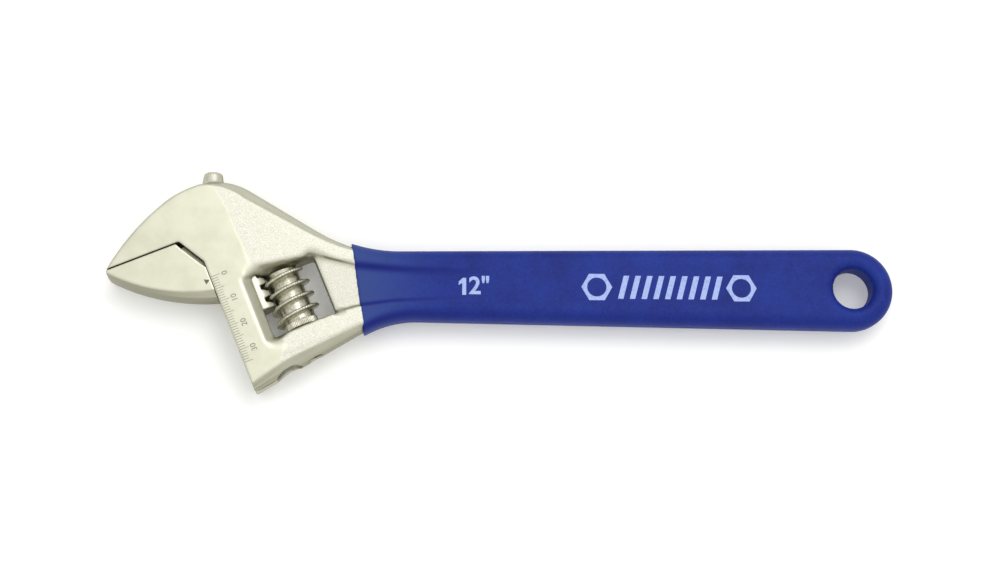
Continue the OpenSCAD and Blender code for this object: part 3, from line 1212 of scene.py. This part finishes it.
studio = {
    "floor": ("#f7f7f5", "#f4f4f2"),
    "floorHalf": 3,  # m
    "floorGrain": 20,  # mm
    "floorGlow": 0.1,
    "glow": "#ffffff",
    "sky": "#ffffff",
    "horizon": "#a9a9a2",
    "skyFrom": 0.7,  # how high up the dome is fully bright
    "skyStrength": 1.16,
    "softbox": {"at": (0.22, 0.5, 1.1), "size": 0.6, "power": 3.4},
    "camera": {
        "lens": 61.2,
        "sensor": 36,
        "clip": (0.05, 20),
        "at": (-0.04056, -0.14087, 0.64421),
        "degrees": (12.6, -3.5, 0.5485),
    },
}


def makeFloor():
    mesh = bpy.data.meshes.new("floor")
    half = studio["floorHalf"]
    corners = [(-half, -half, 0), (half, -half, 0), (half, half, 0), (-half, half, 0)]
    mesh.from_pydata(corners, [], [(0, 1, 2, 3)])
    floor = addObject("floor", mesh)
    made, tree, shader, where = newMaterial("opal acrylic sheet, lit from below")
    grain = addNode(
        tree,
        "ShaderNodeTexNoise",
        {"Vector": where, "Scale": perMetre(studio["floorGrain"]), "Detail": 2.0},
    )
    colour = addNode(tree, "ShaderNodeValToRGB", {"Fac": grain.outputs["Fac"]})
    pale, dull = studio["floor"]
    setStops(colour, [(0.0, linear(dull)), (1.0, linear(pale))])
    tree.links.new(colour.outputs[0], shader.inputs["Base Color"])
    shader.inputs["Roughness"].default_value = 0.9
    shader.inputs["Specular IOR Level"].default_value = 0.1
    shader.inputs["Emission Color"].default_value = linear(studio["glow"])
    shader.inputs["Emission Strength"].default_value = studio["floorGlow"]
    mesh.materials.append(made)


def makeLight():
    world = bpy.data.worlds.new("studio")
    bpy.context.scene.world = world
    world.use_nodes = True
    tree = world.node_tree
    tree.nodes.clear()
    way = addNode(tree, "ShaderNodeTexCoord").outputs["Generated"]
    up = addNode(tree, "ShaderNodeSeparateXYZ", {0: way}).outputs[2]
    shade = addNode(tree, "ShaderNodeValToRGB", {"Fac": up})
    setStops(shade, [(0.0, linear(studio["horizon"])), (studio["skyFrom"], linear(studio["sky"]))])
    back = addNode(
        tree,
        "ShaderNodeBackground",
        {"Color": shade.outputs[0], "Strength": studio["skyStrength"]},
    )
    addNode(tree, "ShaderNodeOutputWorld", {"Surface": back.outputs[0]})
    box = studio["softbox"]
    lamp = bpy.data.lights.new("softbox", "AREA")
    lamp.shape = "SQUARE"
    lamp.size = box["size"]
    lamp.energy = box["power"]
    lampObject = bpy.data.objects.new("softbox", lamp)
    bpy.context.scene.collection.objects.link(lampObject)
    lampObject.location = box["at"]
    lampObject.rotation_euler = (-lampObject.location).to_track_quat("-Z", "Y").to_euler()


def makeCamera():
    settings = studio["camera"]
    lens = bpy.data.cameras.new("camera")
    lens.lens = settings["lens"]
    lens.sensor_width = settings["sensor"]
    lens.clip_start, lens.clip_end = settings["clip"]
    view = bpy.data.objects.new("camera", lens)
    bpy.context.scene.collection.objects.link(view)
    view.location = settings["at"]
    view.rotation_mode = "YXZ"
    view.rotation_euler = [math.radians(turn) for turn in settings["degrees"]]
    bpy.context.scene.camera = view


makeFloor()
makeLight()
makeCamera()
bpy.context.scene.view_settings.view_transform = "Standard"
print("studio made")
